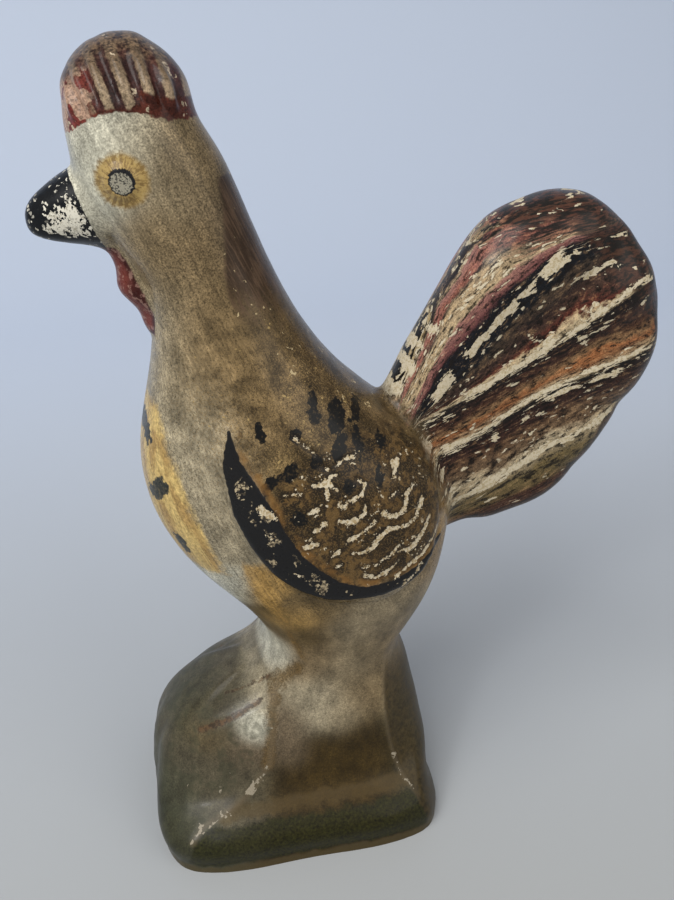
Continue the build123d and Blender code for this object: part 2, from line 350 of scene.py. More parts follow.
# edges and toes of the foot on the left side, (x, y, z)
ARRIS_FRONT = [
    (-3.7, -12.1, 37.7), (-4.9, -14.4, 33.8), (-5.7, -16.6, 27.9), (-6.9, -18.1, 20.5),
    (-9.1, -18.7, 17.9), (-12.5, -20, 14.4), (-16.9, -21.3, 12.1), (-22.5, -22.5, 10.1),
    (-24.8, -24.3, 7.9),
]
ARRIS_REAR = [
    (20.4, -15.1, 47.7), (19.6, -13.5, 38.8), (19.6, -14.6, 30), (20.4, -16.3, 22), (22.4, -19, 13.8),
    (25.2, -22.7, 9.2), (28.3, -24.5, 2.4),
]
TOES = [[(-4.9, -10, 38.5), (-14.8, -8, 33.6)], [(-8, -12.8, 34.4), (-15, -13.2, 30.6), (-21, -11.7, 27.6)]]
FRONT_HEIGHTS = [0, 8.6, 10.9, 13.8, 18.2, 25.6, 35.6, 42]
FRONT_LIMITS = [-27, -24.4, -19.7, -13.9, -8, -6, -4.2, -2]

# colours of the old paint, and where each ground colour lies on the figure: x, z and reach; the peat brown
# of the side cove also holds painted shade
PALETTE = {
    "chalk": (0.43, 0.415, 0.335), "bone": (0.29, 0.25, 0.172), "stone": (0.21, 0.17, 0.107),
    "tan": (0.165, 0.12, 0.064), "gold": (0.2, 0.136, 0.064), "olive": (0.15, 0.106, 0.055),
    "umber": (0.105, 0.072, 0.031), "bark": (0.077, 0.052, 0.026), "soot": (0.036, 0.026, 0.018),
    "rust": (0.33, 0.205, 0.067), "moss": (0.046, 0.046, 0.028), "peat_and_cove_shade": (0.034, 0.021, 0.005),
    "slate": (0.076, 0.065, 0.041), "clay": (0.105, 0.078, 0.048),
}
ZONES = {
    "chalk": [
        (-31, 146, 5), (-30, 139, 4), (-27, 150, 4), (-3.5, 45.5, 2.2), (-12, 69.5, 2.6),
        (-10, 29.5, 2.2),
    ],
    "bone": [
        (-22.5, 149, 3), (-23, 113, 5), (-23.5, 119, 3), (-18, 100, 5), (-16, 90, 5), (-13, 80, 4),
        (5, 33, 4), (-8, 35.5, 1.6),
    ],
    "stone": [
        (-17.5, 142, 4), (-27, 130, 3), (-21, 121, 5), (12, 43, 5), (16, 57, 6), (24, 58, 5),
        (-15, 106, 4), (10, 30, 3),
    ],
    "tan": [
        (-24.5, 134, 3.5), (-16, 148, 4), (-21, 136, 3), (-15, 113, 5), (20, 44, 5), (16, 35, 5),
        (22, 50, 5), (-20, 129, 4),
    ],
    "gold": [(-13, 121, 5), (-7, 110, 5), (-10, 115, 5), (30, 67, 4), (-3, 106, 4)],
    "olive": [(-13, 143, 4), (-15, 132, 5), (4, 46, 4), (-9, 122, 4), (30, 88, 4), (-8, 98, 3)],
    "umber": [(2.5, 53, 3), (-2, 88, 5), (5, 92, 6), (8, 82, 6), (27, 91, 4), (-20, 27, 3), (4, 63, 4)],
    "bark": [
        (3, 110, 5), (-3, 118, 4), (6, 103, 5), (12, 98, 5), (18, 84, 6), (24, 78, 5), (20, 95, 5),
        (12, 105, 5),
    ],
    "soot": [(-4, 131, 4), (-8, 139, 3)],
    "rust": [(34, 74, 4), (-6.5, 69.5, 2.4), (29, 81, 2.5), (1, 60, 2.5), (33.5, 79, 3)],
    "moss": [(-24, 29.5, 4), (-29, 14, 5), (30, 15, 6), (-28, 5, 5), (28, 28, 5), (-21, 32, 3)],
    # peat: the dark brown paint of the concave side cove, made darker still as painted shade for its hollow
    "peat_and_cove_shade": [(5, 16, 5), (18, 16, 5), (10, 6, 8), (-3, 13, 4), (14, 22, 4), (5, 22, 3)],
    "slate": [(-17, 21, 4), (-22, 18, 4), (-18, 30, 3), (-13, 35.5, 3), (-12, 15, 4), (-26, 22, 3)],
    "clay": [(-1.6, 29, 3), (-1, 22, 2.5), (-12, 24, 3)],
}
# paint across the tail's lines, by place, in two lists because a ramp takes no more than 32 colours
UPPER_STRIPES = [
    (-1.0, (0.008, 0.008, 0.008)), (0.05, (0.009, 0.009, 0.008)), (0.12, (0.36, 0.28, 0.16)),
    (0.24, (0.26, 0.19, 0.09)), (0.32, (0.024, 0.018, 0.016)), (0.5, (0.03, 0.02, 0.018)),
    (0.62, (0.26, 0.19, 0.11)), (0.8, (0.24, 0.12, 0.1)), (1.25, (0.22, 0.085, 0.062)),
    (1.42, (0.09, 0.065, 0.048)), (1.7, (0.3, 0.22, 0.13)), (2.45, (0.33, 0.25, 0.15)),
    (2.6, (0.23, 0.115, 0.095)), (3.2, (0.13, 0.048, 0.046)), (3.35, (0.007, 0.007, 0.01)),
    (4.45, (0.006, 0.007, 0.01)), (4.6, (0.06, 0.04, 0.026)), (5.00, (0.034, 0.019, 0.015)),
    (5.4, (0.046, 0.024, 0.017)), (5.72, (0.075, 0.018, 0.012)), (5.84, (0.36, 0.28, 0.17)),
    (6.15, (0.34, 0.27, 0.17)), (6.25, (0.008, 0.007, 0.008)), (6.9, (0.016, 0.009, 0.008)),
    (7.2, (0.042, 0.018, 0.012)), (7.45, (0.06, 0.028, 0.016)), (7.8, (0.16, 0.092, 0.045)),
    (8.05, (0.22, 0.085, 0.032)), (8.4, (0.15, 0.075, 0.036)), (8.85, (0.3, 0.22, 0.13)),
    (9.1, (0.3, 0.24, 0.15)), (9.22, (0.008, 0.007, 0.007)),
]
LOWER_STRIPES = UPPER_STRIPES[-1:] + [
    (10.1, (0.016, 0.008, 0.007)), (10.6, (0.034, 0.015, 0.011)), (11.1, (0.085, 0.046, 0.025)),
    (11.6, (0.12, 0.078, 0.045)), (11.8, (0.32, 0.26, 0.17)), (12.1, (0.26, 0.205, 0.125)),
    (12.4, (0.12, 0.088, 0.038)),
]
# share of the paint that has come off across the tail's lines, by place
WEAR = [
    (-1.0, 0.05), (0.0, 0.32), (0.6, 0.16), (1.4, 0.1), (2.0, 0.26), (3.0, 0.1), (3.6, 0.12),
    (4.05, 0.34), (4.5, 0.1), (5.0, 0.14), (5.7, 0.1), (6.1, 0.3), (6.7, 0.14), (7.5, 0.06),
    (8.4, 0.06), (9.2, 0.3), (10.0, 0.16), (10.6, 0.1), (11.4, 0.12), (12.0, 0.3), (12.6, 0.06),
    (13.5, 0.02),
]


def fan_lines(p):
    """Position across the tail's painted lines: 0 on the front one, 13 on the lowest."""
    depth = [-left_of(line, p) for line in TAIL_LINES]
    u = np.where(depth[0] < 0, depth[0] / 3.0, 0.0)
    for i in range(len(depth) - 1):
        above, below = np.maximum(depth[i], 0), np.maximum(-depth[i + 1], 0)
        between = (depth[i] >= 0) & (depth[i + 1] < 0)
        u = np.where(between, i + above / np.maximum(above + below, 1e-6), u)
    last = depth[-1] >= 0
    return np.where(last, len(depth) - 1 + depth[-1] / 3.0, u)


def worn_lines(p):
    """Depth inside the worn stretches and chips of the tail, negative outside."""
    best = lens(TAIL_CHIPS, p)
    for line, start, end, half_width in WORN_RUNS:
        gap, share, _ = along(TAIL_LINES[line], p)
        ends = np.minimum(share - start, end - share) * 25
        best = np.maximum(best, np.minimum(half_width - gap, ends))
    return best


def ground_colour(x, z):
    ground = np.zeros((len(x), 3))
    total = np.zeros(len(x))
    for name, places in ZONES.items():
        for cx, cz, reach in places:
            w = bell(np.hypot(x - cx, z - cz), reach * 1.25) + 1e-5
            total += w
            ground += w[:, None] * np.array(PALETTE[name])
    return ground / total[:, None]


def paint_fields(co):
    """Named values at points of the skin, from where they lie; both sides are alike."""
    p = co[:, [0, 2]]
    side = np.column_stack([co[:, 0], -np.abs(co[:, 1]), co[:, 2]])
    x, y, z = side.T
    flank = y < -9
    across = x + (z - RIB_LEVEL) * np.clip(0.36 - 0.015 * (x + 28), 0.15, 0.4)
    orange_gap, orange_share, _ = along(ORANGE_LINE, p)
    f = {}
    f["comb"] = z - np.interp(x, *np.array(COMB_LOW).T)
    f["rib"] = -np.cos(2 * math.pi * np.interp(across, GROOVES, np.arange(len(GROOVES))))
    f["face"] = bell(np.hypot((x + 27) / 0.9, (z - 144) / 1.3), 8)
    f["beak"] = np.minimum(-left_of(BEAK_EDGE, p), z - 128.5)
    f["beak_flake"] = inside(BEAK_FLAKE, p)
    wattle_span = np.minimum(z - 115.6, 131.6 - z)
    f["wattle"] = np.minimum(np.minimum(-left_of(WATTLE_EDGE, p), 4.6 + y), wattle_span)
    f["neck_back"] = np.minimum(left_of(NECK_EDGE, p), np.minimum(3 * (143.5 - z), z - 101))
    f["breast"] = np.minimum(-left_of(BREAST_EDGE, p), np.minimum(104.5 - z, z - 71))
    f["spots"] = lens(SPOTS, p)
    f["orange"] = np.where(y < -4, 0.7 + 2.2 * (1 - orange_share) ** 2 - orange_gap, -9)
    f["leg_line"] = np.where(y < -4, along(LEG_LINE, p)[0], 9)
    f["crescent"] = np.where(flank, inside(CRESCENT_OUT + CRESCENT_IN[::-1], p), -9)
    f["wing_edge"] = left_of(CRESCENT_OUT, p)
    f["blotch"] = np.where(flank, lens(BLOTCHES, p), -9)
    f["stroke"] = np.where(flank, brushed(WING_STROKES, p), -9)
    f["wing"] = np.where(flank, 1 - np.hypot((x - 12) / 21, (z - 83) / 17), -9)
    shoulder = bell(np.hypot((x + 3) / 1.1, z - 106), 15)
    saddle = bell(np.hypot(x - 10, z - 88), 20)
    f["mottle"] = np.clip(shoulder + saddle, 0, 1)
    f["tail"] = np.minimum(left_of(TAIL_ROOT, p), x - 18)
    f["fan_u"] = fan_lines(p)
    f["fan_v"] = np.hypot(x - 22, z - 88)
    f["fan_rim"] = along(TAIL_EDGE[3:], p)[0] - 7 * bell(np.hypot(x - 66, z - 128), 12)
    f["worn"] = worn_lines(p)
    f["arris"] = np.minimum(along(ARRIS_FRONT, side)[0], along(ARRIS_REAR, side)[0] + 0.3)
    f["front"] = np.where(z < 42, np.interp(z, FRONT_HEIGHTS, FRONT_LIMITS) - x, 0)
    rear_line = np.array(ARRIS_REAR)[::-1]
    f["rear"] = np.where(z < 48, x - np.interp(z, rear_line[:, 2], rear_line[:, 0]), -9)
    f["toe"] = np.minimum(along(TOES[0], side)[0] + 0.3, along(TOES[1], side)[0])
    f["height"] = z
    f["eye_x"] = x - EYE[0]
    f["eye_z"] = z - EYE[1]
    f["eye_far"] = np.where(np.hypot(f["eye_x"], f["eye_z"]) < 14, 0.0, 9.0)
    f["ground"] = ground_colour(x, z)
    return f


# the outer skin of the whole casting, at an even mesh size
solid = joined("skin_source", ("left_shell", "right_shell", "seam_slip", "base_plug"))
remesh = solid.modifiers.new("skin", "REMESH")
remesh.mode = "VOXEL"
remesh.voxel_size = VOXEL * MM
skin_mesh = applied(solid)
skin_mesh.name = "skin"
skin = new_object("skin", skin_mesh)
bpy.data.objects.remove(solid)

co = points_of(skin_mesh)
edges = rows_of(skin_mesh.edges, "vertices", 2, np.int64)
fields = paint_fields(co)
tail_zone = step(-6, 8, fields["tail"])
x, _, z = co.T
crest_zone = np.maximum(step(0, 2.5, fields["comb"]), bell(np.hypot(x + 11, z - 151), 7))
crest_zone = np.maximum(crest_zone, bell(np.hypot(x + 33, z - 150), 4))
mound_zone = step(-16, -23, x) * step(5, 10, z) * step(38, 31, z)
rear_zone = step(20, 25, x) * step(4, 8, z) * step(46, 36, z)
wattle_zone = step(-2.5, 0, fields["wattle"])
co = relax(co, edges, 5, np.full(len(co), EASE))
co = relax(co, edges, 50, EASE * np.maximum(np.maximum(tail_zone, mound_zone), rear_zone))
co = relax(co, edges, 32, EASE * np.maximum(crest_zone, wattle_zone))
put_points(skin_mesh, co)

# the lobes of the tail are drawn out to one rounded edge
tail_edge = rounded(TAIL_EDGE)
for rounds in (24, 10):
    n = normals_of(skin_mesh)
    p = co[:, [0, 2]]
    gap, share, outward = along(tail_edge, p)
    on_rim = (np.abs(n[:, 1]) < 0.4) & (fields["tail"] > 6) & (gap < 6)
    bins = np.minimum((share * BINS).astype(int), BINS - 1)
    need = np.bincount(bins[on_rim], (-gap * outward)[on_rim], BINS)
    need = need / np.maximum(np.bincount(bins[on_rim], minlength=BINS), 1)
    need = np.convolve(np.pad(need, 2, mode="edge"), EVENING, mode="valid")
    pull = np.interp(share * BINS - 0.5, np.arange(BINS), need)
    pull *= step(16, 2, gap)
    pull *= step(4, 12, fields["tail"])
    way = (nearest_on(tail_edge, p) - p) / np.maximum(gap, 0.3)[:, None] * -outward[:, None]
    co[:, [0, 2]] += way * pull[:, None]
    co = relax(co, edges, rounds, EASE * tail_zone)
    put_points(skin_mesh, co)

# the hollow inside, from the inner faces of the left shell and their mirror image
bvh_mesh = bmesh.new()
bvh_mesh.from_mesh(skin_mesh)
floor_faces = [face for face in bvh_mesh.faces if all(v.co.z < UNDERSIDE * MM for v in face.verts)]
bmesh.ops.delete(bvh_mesh, geom=floor_faces, context="FACES")
walls = BVHTree.FromBMesh(bvh_mesh)
inner = bmesh.new()
inner.from_mesh(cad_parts["left_shell"].data)
bmesh.ops.remove_doubles(inner, verts=inner.verts, dist=WELD)
seam_y = -SEAM * MM
drop = []
for face in inner.faces:
    in_seam = all(abs(v.co.y - seam_y) < IN_PLANE for v in face.verts)
    if in_seam or all(v.co.z < IN_PLANE for v in face.verts):
        drop.append(face)
bmesh.ops.delete(inner, geom=drop, context="FACES")
# without the seam and the floor, the hollow's faces hang together, and the deepest point is one of theirs
deepest = max(inner.verts, key=lambda v: walls.find_nearest(v.co)[3])
bvh_mesh.free()
hollow_points = {deepest}
queue = [deepest]
while queue:
    v = queue.pop()
    for other in (e.other_vert(v) for e in v.link_edges):
        if other not in hollow_points:
            hollow_points.add(other)
            queue.append(other)
bmesh.ops.delete(inner, geom=[v for v in inner.verts if v not in hollow_points], context="VERTS")
for v in inner.verts:
    if v.co.y > seam_y - IN_PLANE:
        v.co.y = 0.0
    if v.co.z < IN_PLANE:
        v.co.z = 0.0
half = list(inner.verts) + list(inner.edges) + list(inner.faces)
copy = bmesh.ops.duplicate(inner, geom=half)["geom"]
for v in (g for g in copy if isinstance(g, bmesh.types.BMVert)):
    v.co.y = -v.co.y
bmesh.ops.reverse_faces(inner, faces=[g for g in copy if isinstance(g, bmesh.types.BMFace)])
bmesh.ops.remove_doubles(inner, verts=inner.verts, dist=MIRROR_WELD)
mouth = [e for e in inner.edges if e.is_boundary and all(v.co.z == 0.0 for v in e.verts)]
down = bmesh.ops.extrude_edge_only(inner, edges=mouth)["geom"]
for v in (g for g in down if isinstance(g, bmesh.types.BMVert)):
    v.co.z = -MOUTH_RUN_ON * MM
bmesh.ops.holes_fill(inner, edges=[e for e in inner.edges if e.is_boundary], sides=0)
bmesh.ops.triangulate(inner, faces=[face for face in inner.faces if len(face.verts) > 3])
bmesh.ops.recalc_face_normals(inner, faces=inner.faces)
hollow = new_object("hollow", mesh_of("hollow", inner))

# relief of the skin, as a rise along its normals
n = normals_of(skin_mesh)
co = points_of(skin_mesh)
x, y, z = co.T
f = paint_fields(co)
side = np.column_stack([x, -np.abs(y), z])
rise = 0.1 * waves(co, 26, 3) + 0.35 * step(0, 8, f["tail"])
rise += 0.5 * step(-0.9, 0.7, f["crescent"])
rise -= 0.1 * step(-0.2, 0.3, f["stroke"])
rise += 0.35 * bell(along(ARRIS_FRONT, side)[0], 2.4) + 0.35 * bell(along(ARRIS_REAR, side)[0], 2.4)
rise += 1.2 * bell(z - 13, 6) * step(22, 27, x) * step(0.2, 0.6, n[:, 0])
rib_rise = 0.6 * f["rib"] * step(0.5, 3, f["comb"]) * step(10, 6.5, f["comb"])
rise += rib_rise * step(0.35, 0.75, np.abs(n[:, 1]))
rise -= 1.1 * bell(x - 6, 12) * bell(z - 17, 8) * step(0.4, 0.8, np.abs(n[:, 1]))
rise -= 0.15 * bell(f["toe"], 1.0)
wattle = step(-1.0, 0.8, f["wattle"])
rise += wattle * (0.3 + 1.3 * bell(z - 124.2, 2.8) - 0.5 * bell(z - 119, 2.2))
rise *= step(0.5, 4.0, z)
co = co + n * rise[:, None]
# the foot runs on below the floor, where the pieces are cut off flat
co[:, 2] -= FOOT_RUN_ON * step(2.0, 0.0, z)
put_points(skin_mesh, co)


# materials
class Tree:
    """Short ways to add shader nodes to a material."""

    def __init__(self, material):
        material.use_nodes = True
        self.nodes = material.node_tree.nodes
        self.links = material.node_tree.links
        self.surface = self.nodes["Principled BSDF"]
        self.place = self.nodes.new("ShaderNodeTexCoord").outputs["Object"]

    def put(self, socket, value):
        if isinstance(value, bpy.types.NodeSocket):
            self.links.new(value, socket)
        else:
            socket.default_value = value

    def give(self, name, value):
        """Sets or links an input of the surface."""
        self.put(self.surface.inputs[name], value)

    def math(self, kind, a, b=0.0):
        node = self.nodes.new("ShaderNodeMath")
        node.operation = kind
        self.put(node.inputs[0], a)
        self.put(node.inputs[1], b)
        return node.outputs[0]

    def add(self, *terms):
        total = terms[0]
        for term in terms[1:]:
            total = self.math("ADD", total, term)
        return total

    def times(self, *terms):
        total = terms[0]
        for term in terms[1:]:
            total = self.math("MULTIPLY", total, term)
        return total

    def largest(self, a, b):
        return self.math("MAXIMUM", a, b)

    def rest(self, share):
        return self.math("SUBTRACT", 1.0, share)

    def centred(self, noise, size):
        """A noise about zero, from about minus to plus half of size."""
        return self.times(self.add(noise, -0.5), size)

    def field(self, name, output="Fac"):
        node = self.nodes.new("ShaderNodeAttribute")
        node.attribute_name = name
        return node.outputs[output]

    def parts(self, vector):
        node = self.nodes.new("ShaderNodeSeparateXYZ")
        self.links.new(vector, node.inputs[0])
        return node.outputs

    def vector(self, x, y, z):
        node = self.nodes.new("ShaderNodeCombineXYZ")
        for socket, value in zip(node.inputs, (x, y, z)):
            self.put(socket, value)
        return node.outputs[0]

    def noise(self, vector, scale=1.0, detail=3.0, rough=0.55):
        node = self.nodes.new("ShaderNodeTexNoise")
        self.put(node.inputs["Vector"], vector)
        node.inputs["Scale"].default_value = scale
        node.inputs["Detail"].default_value = detail
        node.inputs["Roughness"].default_value = rough
        return node.outputs["Fac"]

    def jittered(self, scale, size):
        """Places moved about by a noise, so that cells in them have uneven edges."""
        noise = self.nodes.new("ShaderNodeTexNoise")
        self.put(noise.inputs["Vector"], self.place)
        noise.inputs["Scale"].default_value = scale
        shift = self.nodes.new("ShaderNodeVectorMath")
        shift.operation = "MULTIPLY_ADD"
        self.links.new(noise.outputs["Color"], shift.inputs[0])
        shift.inputs[1].default_value = (size,) * 3
        self.links.new(self.place, shift.inputs[2])
        return shift.outputs[0]

    def flakes(self, vector, scale=1.0):
        """A chance value from 0 to 1 for each of many small cells, like flakes of paint."""
        node = self.nodes.new("ShaderNodeTexVoronoi")
        self.put(node.inputs["Vector"], vector)
        node.inputs["Scale"].default_value = scale
        chance = self.nodes.new("ShaderNodeSeparateColor")
        self.links.new(node.outputs["Color"], chance.inputs["Color"])
        return chance.outputs["Red"]

    def lost(self, wear, cells):
        """1 in the cells that have come off, which are more where the wear is more."""
        return self.smooth(self.math("SUBTRACT", wear, cells), 0.0, 0.05)

    def smooth(self, value, low, high, kind="SMOOTHSTEP"):
        node = self.nodes.new("ShaderNodeMapRange")
        node.interpolation_type = kind
        self.put(node.inputs["Value"], value)
        self.put(node.inputs["From Min"], low)
        self.put(node.inputs["From Max"], high)
        return node.outputs["Result"]

    def mask(self, name, low, high, *noises):
        """A share that goes from 0 to 1 where a field, moved about by noises, goes from low to high."""
        return self.smooth(self.add(self.field(name), *noises), low, high)

    def rgba(self, value):
        return (*value, 1.0) if isinstance(value, tuple) and len(value) == 3 else value

    def mix(self, share, a, b, kind="MIX"):
        node = self.nodes.new("ShaderNodeMix")
        node.data_type = "RGBA"
        node.blend_type = kind
        self.put(node.inputs[0], share)
        self.put(node.inputs[6], self.rgba(a))
        self.put(node.inputs[7], self.rgba(b))
        return node.outputs[2]

    def two_tone(self, value, low, high, a, b):
        """Two colours, the second one where a value is high."""
        return self.mix(self.smooth(value, low, high), a, b)

    def ramp(self, value, stops, low=0.0, high=1.0):
        node = self.nodes.new("ShaderNodeValToRGB")
        marks = node.color_ramp.elements
        while len(marks) > 1:
            marks.remove(marks[-1])
        for i, (at, colour) in enumerate(stops):
            where = (at - low) / (high - low)
            mark = marks[0] if i == 0 else marks.new(where)
            mark.position = where
            mark.color = self.rgba(colour if isinstance(colour, tuple) else (colour,) * 3)
        self.put(node.inputs["Fac"], self.smooth(value, low, high, "LINEAR"))
        return node.outputs["Color"]

    def shaded(self, base, noise, spread, share=1.0):
        """A colour made darker and lighter by a noise."""
        tones = [(0.3, 1 - spread), (0.5, 1.0), (0.7, 1 + spread)]
        return self.mix(share, base, self.ramp(noise, tones), "MULTIPLY")

    def bump(self, height, strength, distance):
        node = self.nodes.new("ShaderNodeBump")
        node.inputs["Strength"].default_value = strength
        node.inputs["Distance"].default_value = distance
        self.links.new(height, node.inputs["Height"])
        self.give("Normal", node.outputs["Normal"])


CREAM = (0.56, 0.49, 0.36)
BLACK = (0.005, 0.006, 0.008)

paint = bpy.data.materials.new("painted_plaster")
t = Tree(paint)
px, py, pz = t.parts(t.place)

# noises: places are in metres, so a scale of 1000 has grains of a millimetre
fine = t.noise(t.place, 3600, 2, 0.6)
speckle = t.noise(t.place, 3400, 2, 0.6)
grain = t.noise(t.place, 1700, 3, 0.65)
mid = t.noise(t.place, 850, 3, 0.6)
lumps = t.noise(t.place, 900, 1, 0.4)
big = t.noise(t.place, 260, 3, 0.5)
wide = t.noise(t.place, 70, 2, 0.5)
ragged = t.centred(mid, 2.0)
crumbs = t.add(ragged, t.centred(grain, 1.2))
moved = t.jittered(1300, 0.0009)
cells = t.add(t.times(t.flakes(moved, 1500), 0.45), t.times(t.flakes(moved, 650), 0.55))
bits = t.add(t.times(t.flakes(t.jittered(2400, 0.0005), 2900), 0.5), t.times(t.flakes(moved, 1400), 0.5))
# brush strokes run down the neck and breast
down_run = t.add(t.times(px, 0.42), t.times(pz, -0.91))
over_run = t.add(t.times(px, 0.91), t.times(pz, 0.42))
drawn_fine = t.vector(t.times(down_run, 190), t.times(over_run, 2300), t.times(py, 2300))
drawn_broad = t.vector(t.times(down_run, 45), t.times(over_run, 420), t.times(py, 420))
drawn_down = t.vector(t.times(px, 380), t.times(py, 380), t.times(pz, 170))
bristles = t.noise(drawn_fine, 1.0, 4, 0.6)
washes = t.noise(drawn_down, 1.0, 4, 0.55)
sweeps = t.noise(drawn_broad, 1.0, 3, 0.5)

# ground
height = t.field("height")
upper = t.smooth(height, 56, 66)
mottle = t.field("mottle")
face = t.field("face")
base = t.field("ground", "Color")
for noise, spread in ((wide, 0.12), (big, 0.18), (grain, 0.25)):
    base = t.shaded(base, noise, spread)
off_face = t.add(t.times(face, -0.85), 1)
base = t.shaded(base, speckle, 0.55, t.times(off_face, t.add(t.times(upper, 0.65), 0.35)))
base = t.shaded(base, washes, 0.3, t.rest(upper))
base = t.shaded(base, sweeps, 0.24, upper)
bristle_share = t.add(t.times(face, -0.4), t.times(mottle, 0.4), 0.6)
base = t.shaded(base, bristles, 0.5, t.times(upper, bristle_share))
for share, colour in (
    (t.times(t.smooth(speckle, 0.5, 0.6), 0.75), (0.042, 0.027, 0.011)),
    (t.times(t.smooth(mid, 0.55, 0.64), 0.6), (0.034, 0.022, 0.011)),
    (t.times(t.smooth(fine, 0.53, 0.62), 0.6), (0.3, 0.2, 0.085)),
):
    base = t.mix(t.times(mottle, share), base, colour)
base = t.shaded(base, big, 0.5, mottle)
base = t.mix(t.lost(t.times(mottle, t.smooth(big, 0.42, 0.6), 0.16), bits), base, (0.34, 0.24, 0.1))

# breast and orange patch
breast = t.mask("breast", -0.6, 1.2, t.centred(sweeps, 3), ragged)
yellow = t.two_tone(sweeps, 0.38, 0.62, (0.36, 0.23, 0.078), (0.53, 0.38, 0.14))
yellow = t.shaded(t.shaded(yellow, bristles, 0.3), grain, 0.3)
base = t.mix(t.times(breast, 0.92), base, yellow)
spots = t.mask("spots", -0.1, 0.1, t.centred(lumps, 1.4))
base = t.mix(spots, base, t.two_tone(grain, 0.5, 0.62, (0.022, 0.024, 0.02), (0.09, 0.075, 0.045)))
orange = t.mask("orange", -0.6, 1.6, ragged, t.centred(sweeps, 5))
rust = t.two_tone(height, 50, 68, (0.13, 0.075, 0.022), (0.35, 0.21, 0.062))
base = t.mix(t.times(orange, 0.8), base, t.shaded(t.shaded(rust, bristles, 0.4), grain, 0.4))
leg = t.mask("leg_line", 1.9, 0.2, t.times(crumbs, 0.8), t.centred(big, 2))
base = t.mix(t.times(leg, 0.75), base, t.shaded((0.105, 0.066, 0.024), speckle, 0.6))

# dark back of the neck
back = t.mask("neck_back", -0.3, 0.7, t.times(ragged, 0.3), t.centred(bristles, 1.4))
back = t.times(back, t.smooth(t.add(height, t.centred(bristles, 16), t.times(ragged, 1.5)), 118, 126))
dark = t.two_tone(bristles, 0.42, 0.62, (0.034, 0.019, 0.011), (0.09, 0.054, 0.033))
base = t.mix(t.times(back, 0.92), base, dark)
fleck_zone = t.times(t.mask("neck_back", -4, 1), t.smooth(big, 0.45, 0.6))
flecks = t.lost(t.times(fleck_zone, 0.16), cells)
base = t.mix(flecks, base, (0.46, 0.36, 0.2))

# wing
wing = t.mask("wing", 0, 0.25, t.times(ragged, 0.1))
scales = t.flakes(t.jittered(500, 0.0022), 380)
scale_paint = t.two_tone(scales, 0.2, 0.8, (0.014, 0.01, 0.006), (0.115, 0.067, 0.024))
base = t.mix(t.times(wing, 0.8), base, scale_paint)
base = t.mix(t.times(wing, t.smooth(mid, 0.47, 0.55), 0.75), base, (0.014, 0.01, 0.007))
base = t.mix(t.times(wing, t.smooth(fine, 0.53, 0.6), 0.4), base, (0.21, 0.13, 0.05))
blotch = t.mask("blotch", -0.05, 0.08, t.centred(lumps, 1.8), t.centred(grain, 0.9))
black_brown = t.two_tone(grain, 0.56, 0.66, (0.006, 0.006, 0.006), (0.045, 0.031, 0.016))
base = t.mix(blotch, base, black_brown)
inner_edge = t.smooth(t.math("ABSOLUTE", t.add(t.field("crescent"), t.times(ragged, 0.8), 0.7)), 1.2, 0.2)
glow = t.times(inner_edge, t.mask("wing_edge", 1.5, 3), t.smooth(big, 0.38, 0.58))
base = t.mix(t.times(glow, 0.6), base, (0.22, 0.11, 0.03))
crescent = t.mask("crescent", -0.05, 0.1, t.centred(lumps, 0.5))
base = t.mix(crescent, base, (0.01, 0.01, 0.011))
rub_zone = t.times(t.mask("crescent", 0.2, 1.6), t.smooth(big, 0.4, 0.62))
rub = t.lost(t.times(rub_zone, 0.56), cells)
base = t.mix(rub, base, t.two_tone(grain, 0.45, 0.58, (0.045, 0.036, 0.025), (0.38, 0.31, 0.2)))
stroke = t.add(t.field("stroke"), t.centred(lumps, 0.9), t.centred(big, 1.3), -0.13)
base = t.mix(t.times(t.smooth(stroke, -0.6, -0.1), t.rest(crescent), 0.6), base, (0.016, 0.011, 0.007))
lines = t.lost(t.smooth(stroke, -0.35, 0.6), bits)
crumb_zone = t.times(wing, t.rest(crescent), t.smooth(big, 0.45, 0.62))
lines = t.largest(lines, t.lost(t.times(crumb_zone, 0.2), bits))
base = t.mix(lines, base, t.two_tone(grain, 0.36, 0.58, (0.34, 0.25, 0.13), CREAM))

# tail
u = t.field("fan_u")
v = t.field("fan_v")
drift = t.noise(t.vector(t.times(u, 1.3), t.times(v, 0.1), t.times(py, 400)), 1, 3, 0.55)
drag = t.noise(t.vector(t.times(u, 6), t.times(v, 0.42), t.times(py, 900)), 1, 4, 0.65)
u_drawn = t.add(u, t.centred(drift, 1.1), t.centred(drag, 0.7))
stripes = t.ramp(u_drawn, UPPER_STRIPES, -1, 10.4)
lower = t.ramp(u_drawn, LOWER_STRIPES, 9, 14)
stripes = t.mix(t.smooth(u_drawn, 9.6, 9.7), stripes, lower)
top_end = t.times(t.smooth(u_drawn, 2.5, 2), t.smooth(t.add(v, t.centred(drag, 14)), 42, 50))
end_paint = t.two_tone(drag, 0.45, 0.58, (0.018, 0.013, 0.013), (0.13, 0.045, 0.034))
stripes = t.mix(t.times(top_end, 0.85), stripes, end_paint)
under = t.smooth(u_drawn, 12.6, 13.4)
stripes = t.mix(under, stripes, t.two_tone(v, 16, 30, (0.25, 0.14, 0.05), (0.05, 0.022, 0.014)))
smudge = t.add(t.times(drag, 0.75), t.times(grain, 0.25))
stripes = t.mix(t.times(t.smooth(smudge, 0.55, 0.6), 0.3), stripes, (0.19, 0.118, 0.056))
stripes = t.mix(t.times(t.smooth(smudge, 0.47, 0.42), 0.75), stripes, (0.016, 0.011, 0.009))
stripes = t.shaded(t.shaded(stripes, drag, 0.8), speckle, 0.45)
rim = t.mask("fan_rim", 4, 2, t.centred(drift, 6), t.centred(drag, 3))
rim_paint = t.two_tone(drag, 0.45, 0.58, (0.012, 0.01, 0.009), (0.06, 0.026, 0.017))
stripes = t.mix(t.times(rim, 0.9), stripes, rim_paint)
long_u = t.add(t.times(u, 5), t.times(ragged, 0.5))
